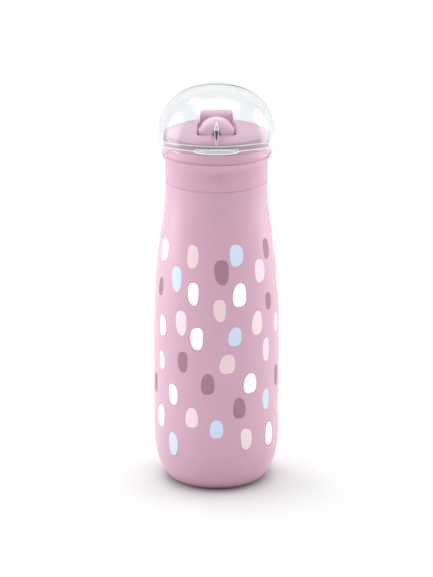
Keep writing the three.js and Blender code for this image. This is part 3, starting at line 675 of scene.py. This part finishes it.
def bead(path, thick, facing=(0, 0, 1)):
    """A round bead along a closed path (points x 3): circles of that radius, square to the path, with the
    facing direction, which the path never follows, as their upright."""
    ahead = np.roll(path, -1, 0) - np.roll(path, 1, 0)
    side = np.cross(ahead, facing)
    side /= np.linalg.norm(side, axis=1, keepdims=True)
    upright = np.cross(side, ahead)
    upright /= np.linalg.norm(upright, axis=1, keepdims=True)
    across = np.linspace(0, 2 * np.pi, 14, endpoint=False)[:, None, None]
    return path + thick * (np.cos(across) * side + np.sin(across) * upright)


def rim(radius, height, rise):
    """A ring round the cover. Its height climbs by the rise from the sides to the front, with the ease of how
    far forward it is."""
    a = np.linspace(0, 2 * np.pi, 360, endpoint=False)
    return np.column_stack([radius * np.cos(a), radius * np.sin(a), height + rise * eased(-np.sin(a))])


# Two rings round the cover and a loop round the rib are painted highlights: white beads with a slight
# glow that stand for the bright lines at the clear plastic's edges.
painted_highlight_edge = finish("painted_highlight_copolyester_edge", "#FDFDFE", "#F8FAFC", 0.5, (0.2, 0.3), 0.001,
                     **{"Alpha": 0.7, "Emission Color": (1, 1, 1, 1), "Emission Strength": 0.3})
rib_side = np.column_stack([rib_half, rib_front + 0.15, rib_z])
rib_tip = np.array([0.1, RIB_BACK - 0.2, RIB_HIGH])
towards_tip = np.linspace(0, 1, 12)[1:, None]
rib_side = np.concatenate([rib_side, rib_side[-1] + towards_tip * (rib_tip - rib_side[-1])])
rib_loop = np.concatenate([rib_side, (rib_side * [-1, 1, 1])[::-1]])
edges = piece("cover_painted_highlight_beads", [
    bead(rim(32.7, 199.2, 3.4), 0.32), bead(rim(32.2, 201.6, 3.9), 0.24),
    bead(rib_loop, 0.22, (0, 1, 1))], painted_highlight_edge)


def lip_loop(count=200):
    """The edge of the tab's front face: an ellipse 1.9 mm high, stretched sideways and held to 24.6 mm, and
    bent back over the tab's superellipse in plan."""
    face = squircle(12.3, 0.95, 2.0, count)
    widest = 11.4 + 0.9 * np.abs(np.cos(np.linspace(0, 2 * np.pi, count, endpoint=False)))
    x = np.clip(face[:, 0] * 1.12, -widest, widest)
    reach = np.clip(1 - (np.abs(x) / 12.6) ** 2.3, 0, 1) ** (1 / 2.3)
    return np.column_stack([x, TAB_Y - 3.9 * reach, 203.15 + face[:, 1]])


# The tab's rolled edge gets a painted highlight too: a white bead with a slight glow. It is thicker below than
# above.
painted_tab_highlight = finish("painted_tab_edge_highlight", "#FEFEFE", "#FBFBFC", 0.5, (0.25, 0.35), 0.001,
                  **{"Emission Color": (1, 1, 1, 1), "Emission Strength": 0.1})
loop = lip_loop()
loop_thick = 0.12 + 0.16 * eased((203.3 - loop[:, 2:]) / 0.9)
tab_highlight_bead = piece("thumb_tab_painted_highlight", [bead(loop, loop_thick, (0, 1, 0))], painted_tab_highlight)
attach(tab_highlight_bead, "cover")
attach(edges, "cover")

# The knuckle turns on the wire between the lid's two lugs.
knuckle_outline = hull_outline(HINGE, KNUCKLE_R, [(31.8, 199.8), (31.8, 194.2)])
knuckle = piece("hinge_knuckle", [carried(knuckle_outline, -5.2, 5.2, 0.4, 0)], clear_copolyester,
                closed_rows=False)
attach(knuckle, "cover")

# ---- Studio ----
# A pale floor that runs out of sight, a white surround, two tall softboxes that light the flanks, and a
# small one overhead that the dome mirrors.

floor_mesh = bpy.data.meshes.new("floor")
floor_mesh.from_pydata([(-6, -4, 0), (6, -4, 0), (6, 9, 0), (-6, 9, 0)], [], [(0, 1, 2, 3)])
floor = bpy.data.objects.new("floor", floor_mesh)
bpy.context.scene.collection.objects.link(floor)
floor_mesh.materials.append(finish("matt_white_floor", "#C9C9C9", "#C6C6C6", 4.0, (0.85, 0.95), 0.0))

world = bpy.data.worlds.new("white_surround")
bpy.context.scene.world = world
world.use_nodes = True
world.node_tree.nodes.clear()
# The surround is white behind, falls off to grey at the bottle's front, and has a bright cap overhead.
direction = add_node(world.node_tree, "ShaderNodeTexCoord").outputs["Generated"]
apart = add_node(world.node_tree, "ShaderNodeSeparateXYZ", {"Vector": direction})
brightness = add_node(world.node_tree, "ShaderNodeMapRange", {
    "Value": apart.outputs["Y"], "From Min": -0.75, "From Max": 0.15, "To Min": 0.37, "To Max": 0.97},
    interpolation_type="SMOOTHSTEP").outputs["Result"]
overhead = add_node(world.node_tree, "ShaderNodeMapRange", {
    "Value": apart.outputs["Z"], "From Min": 0.8, "From Max": 0.98, "To Min": 1.0, "To Max": 6.2},
    interpolation_type="SMOOTHSTEP").outputs["Result"]
strength = add_node(world.node_tree, "ShaderNodeMath", {
    0: brightness, 1: overhead}, operation="MULTIPLY").outputs["Value"]
surround = add_node(world.node_tree, "ShaderNodeBackground", {"Color": (1, 1, 1, 1), "Strength": strength})
add_node(world.node_tree, "ShaderNodeOutputWorld", {"Surface": surround.outputs["Background"]})


def softbox(name, place, target, size, power):
    """A rectangular area light at a place in metres, turned to face the target."""
    light = bpy.data.lights.new(name, "AREA")
    light.shape, light.size, light.size_y, light.energy = "RECTANGLE", size[0], size[1], power
    made = bpy.data.objects.new(name, light)
    bpy.context.scene.collection.objects.link(made)
    made.location = place
    made.rotation_euler = (Vector(target) - Vector(place)).to_track_quat("-Z", "Y").to_euler()


softbox("left_softbox", (-0.95, 0.1, 0.3), (0, 0, 0.12), (0.6, 1.0), 3.8)
softbox("right_softbox", (0.95, 0.35, 0.3), (0, 0, 0.12), (0.5, 1.0), 3)
softbox("overhead_softbox", (-0.37, 0.47, 1.0), (0, 0, 0.2), (0.26, 0.2), 1.6)

# The camera stands 1.7 m away, 17.5 degrees above the level, and looks at the bottle's middle.
DISTANCE, MIDDLE_Z, TILT = 1.7, 0.116, math.radians(17.5)
camera_data = bpy.data.cameras.new("camera")
camera_data.lens = 185.0
camera_data.sensor_width = 36.0
camera_data.shift_y = -0.0089
camera_data.clip_start, camera_data.clip_end = 0.05, 60
camera = bpy.data.objects.new("camera", camera_data)
bpy.context.scene.collection.objects.link(camera)
camera.location = (0, -DISTANCE * math.cos(TILT), MIDDLE_Z + DISTANCE * math.sin(TILT))
camera.rotation_euler = (math.pi / 2 - TILT, 0, 0)
bpy.context.scene.camera = camera
bpy.context.scene.view_settings.view_transform = "Standard"
